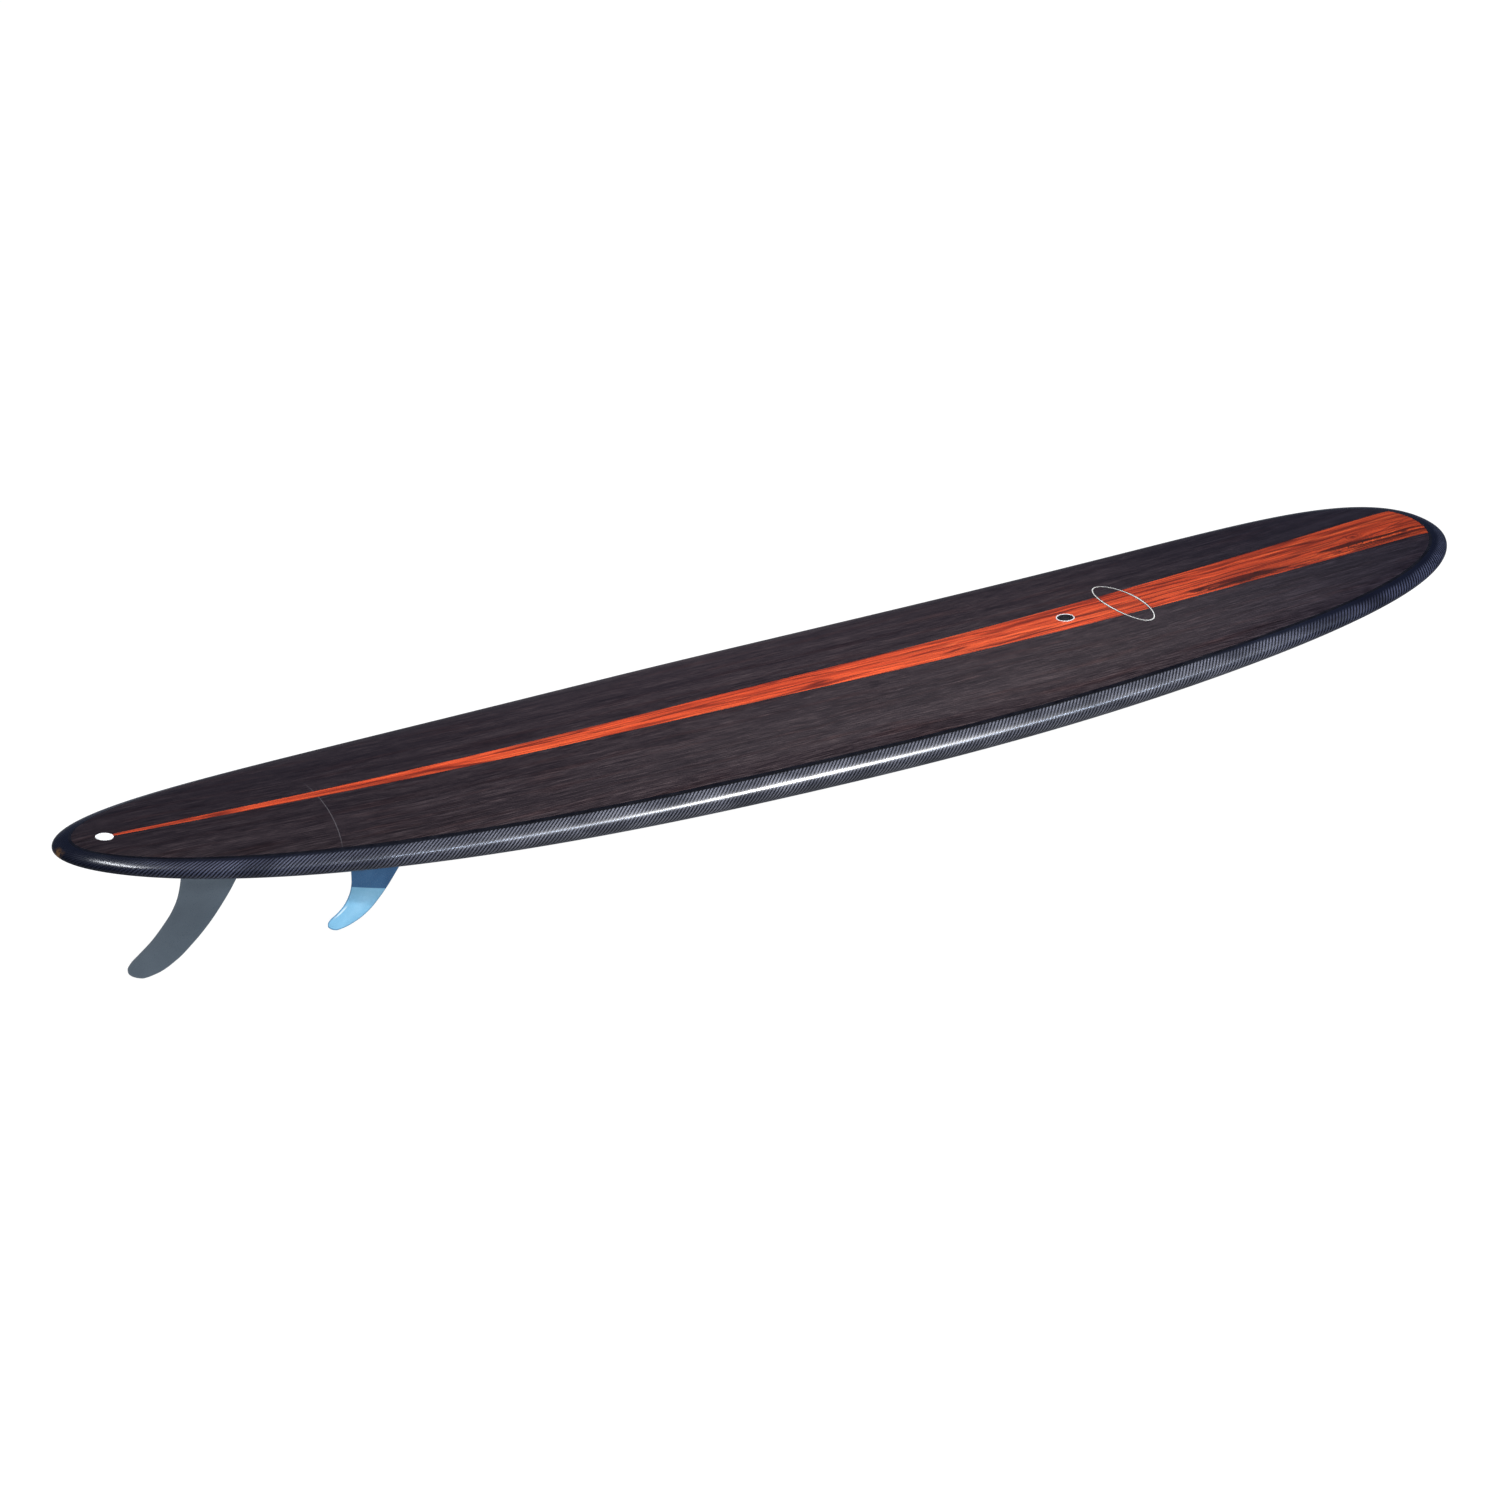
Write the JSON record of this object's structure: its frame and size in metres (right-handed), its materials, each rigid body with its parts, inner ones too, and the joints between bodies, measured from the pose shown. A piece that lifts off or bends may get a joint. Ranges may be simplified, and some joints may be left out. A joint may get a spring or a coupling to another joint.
{
  "type": "surfboard",
  "caption": "Longboard surfboard with dark wood veneer deck, red wood centre inlay, black coach line, carbon rails, and a centre fin with two side fins.",
  "frame": {"origin": "middle of the board's length on its centreline, at the height of the centre fin's tip, which is the lowest point", "axes": "+X from tail to nose, +Y to port, +Z from the bottom to the deck"},
  "size_m": [2.794, 0.5764, 0.3035],
  "materials": {
    "eps_foam": "matte",
    "stringer_wood": "matte",
    "dark_veneer": "satin",
    "red_inlay": "satin",
    "black_line": "gloss",
    "carbon": "gloss",
    "bottom": "gloss",
    "white_plastic": "satin",
    "stainless": "satin",
    "black_plastic": "satin",
    "bright_ring": "polished",
    "seal": "matte",
    "fin_box_plastic": "satin",
    "smoke_fin": "satin",
    "blue_fin": "gloss",
    "brass": "satin"
  },
  "bodies": {
    "board": {"foam_core_port": "eps_foam", "foam_core_starboard": "eps_foam", "stringer": "stringer_wood", "deck_veneer_port": "dark_veneer", "deck_veneer_starboard": "dark_veneer", "deck_inlay": "red_inlay", "pinline": "black_line", "carbon_rail_port": "carbon", "carbon_rail_starboard": "carbon", "bottom_skin": "bottom", "leash_plug_cup": "white_plastic", "leash_plug_bar": "stainless", "vent_plug_body": "black_plastic", "vent_ring": "bright_ring", "centre_fin_box": "fin_box_plastic", "side_fin_box_port": "fin_box_plastic", "side_fin_box_starboard": "fin_box_plastic"},
    "leash_cover": {"leash_plug_cover": "white_plastic"},
    "vent_seal": {"vent_o_ring": "seal"},
    "vent_screw": {"vent_screw": "black_plastic"},
    "centre_fin": {"centre_fin": "smoke_fin", "centre_fin_plate": "brass", "centre_fin_pin": "brass"},
    "centre_fin_screw": {"centre_fin_screw": "stainless"},
    "side_fin_port": {"side_fin_port": "blue_fin"},
    "side_fin_starboard": {"side_fin_starboard": "blue_fin"},
    "grub_port_rear": {"grub_screw_port_rear": "stainless"},
    "grub_port_front": {"grub_screw_port_front": "stainless"},
    "grub_starboard_rear": {"grub_screw_starboard_rear": "stainless"},
    "grub_starboard_front": {"grub_screw_starboard_front": "stainless"}
  },
  "joints": [
    {"name": "leash_cover_lift", "type": "slide", "parent": "board", "child": "leash_cover", "axis": [0.0264, 0, 0.9997], "range_m": [0, 0.02]},
    {"name": "vent_screw_turn", "type": "hinge", "parent": "vent_seal", "child": "vent_screw", "pos_m": [0.5975, 0, 0.26929], "axis": [-0.0274, 0, 0.9996], "range_deg": [0, 900]},
    {"name": "vent_seal_lift", "type": "slide", "parent": "board", "child": "vent_seal", "axis": [-0.0274, 0, 0.9996], "range_m": [0, 0.00375]},
    {"name": "centre_fin_slide", "type": "slide", "parent": "board", "child": "centre_fin", "axis": [0.9959, 0, -0.0909], "range_m": [-0.045, 0.015]},
    {"name": "centre_fin_screw_turn", "type": "hinge", "parent": "centre_fin", "child": "centre_fin_screw", "pos_m": [-1.00539, 0, 0.21511], "axis": [-0.0909, 0, -0.9959], "range_deg": [0, 180]},
    {"name": "side_fin_port_pull", "type": "slide", "parent": "board", "child": "side_fin_port", "axis": [-0.0622, 0.0871, -0.9943], "range_m": [0, 0.02]},
    {"name": "side_fin_starboard_pull", "type": "slide", "parent": "board", "child": "side_fin_starboard", "axis": [-0.0622, -0.0871, -0.9943], "range_m": [0, 0.02]},
    {"name": "grub_port_rear_turn", "type": "hinge", "parent": "board", "child": "grub_port_rear", "pos_m": [-0.92224, 0.18062, 0.20849], "axis": [-0.0622, 0.0871, -0.9943], "range_deg": [0, 180]},
    {"name": "grub_port_front_turn", "type": "hinge", "parent": "board", "child": "grub_port_front", "pos_m": [-0.86542, 0.17813, 0.20471], "axis": [-0.0622, 0.0871, -0.9943], "range_deg": [0, 180]},
    {"name": "grub_starboard_rear_turn", "type": "hinge", "parent": "board", "child": "grub_starboard_rear", "pos_m": [-0.92224, -0.18062, 0.20849], "axis": [-0.0622, -0.0871, -0.9943], "range_deg": [0, 180]},
    {"name": "grub_starboard_front_turn", "type": "hinge", "parent": "board", "child": "grub_starboard_front", "pos_m": [-0.86542, -0.17813, 0.20471], "axis": [-0.0622, -0.0871, -0.9943], "range_deg": [0, 180]}
  ],
  "couplings": [
    {"joint": "vent_screw_turn", "follows": "vent_seal_lift", "rad_per_m": 4188.7}
  ]
}
